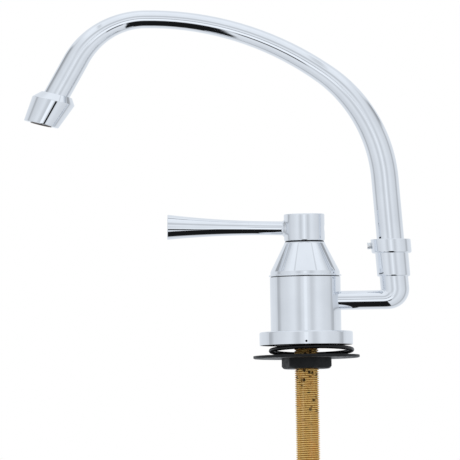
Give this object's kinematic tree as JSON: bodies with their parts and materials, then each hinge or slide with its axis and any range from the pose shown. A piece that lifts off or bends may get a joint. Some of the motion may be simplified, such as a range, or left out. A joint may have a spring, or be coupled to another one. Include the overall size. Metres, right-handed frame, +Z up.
{
  "type": "point-of-use faucet",
  "caption": "Chrome deck faucet with a swivelling gooseneck spout beside its body, a side lever, and a threaded shank with washer and nut for the deck hole.",
  "frame": {"origin": "on the body's axis, at the underside of the base flange, where it meets the deck", "axes": "+Z up along the body's axis, -X along the lever at rest, +X along the arm to the spout's leg, -Y to the front"},
  "size_m": [0.1889, 0.0522, 0.2289],
  "materials": {
    "chrome_plate": "polished chrome plate",
    "shank_brass": "machined brass",
    "black_plastic": "moulded black",
    "black_rubber": "smooth black",
    "stainless_steel": "plain",
    "ceramic": "lapped white ceramic",
    "white_nylon": "moulded white",
    "brown_plastic": "moulded dark brown"
  },
  "bodies": {
    "base": {"base_flange": "chrome_plate", "body": "chrome_plate", "shank": "shank_brass", "shank_gasket": "black_rubber", "seat_gasket": "black_rubber", "fixed_disc": "ceramic", "cartridge_housing": "shank_brass", "cartridge_o_ring": "black_rubber", "bonnet_gasket": "black_rubber", "bonnet": "chrome_plate", "glide_ring": "black_plastic", "elbow_arm": "chrome_plate", "arm_o_ring": "black_rubber", "swivel_socket": "chrome_plate", "swivel_bearing": "white_nylon", "spout_collar": "chrome_plate", "collar_screw": "stainless_steel"},
    "handle": {"handle_hub": "chrome_plate", "lever": "chrome_plate", "handle_grub_screw": "stainless_steel", "spindle": "shank_brass", "spindle_o_rings": "black_rubber", "spindle_clip": "stainless_steel", "rotating_disc": "ceramic"},
    "spout": {"spout_tube": "chrome_plate", "spout_spigot": "shank_brass", "spigot_o_rings": "black_rubber", "nozzle": "chrome_plate", "aerator_insert": "brown_plastic", "aerator_screen": "stainless_steel", "aerator_washer": "black_rubber"},
    "clamp": {"mounting_washer": "black_plastic", "mounting_nut": "black_plastic", "base_o_ring": "black_rubber"}
  },
  "joints": [
    {"name": "handle_turn", "type": "hinge", "parent": "base", "child": "handle", "pos_m": [0, 0, 0.0571], "axis": [0, 0, 1], "range_deg": [0, 90]},
    {"name": "spout_swivel", "type": "hinge", "parent": "base", "child": "spout", "pos_m": [0.0443, 0, 0.02155], "axis": [-0.0732, 0, 0.9973], "continuous": true},
    {"name": "clamp_slide", "type": "slide", "parent": "base", "child": "clamp", "axis": [0, 0, 1], "range_m": [-0.04, 0]}
  ]
}
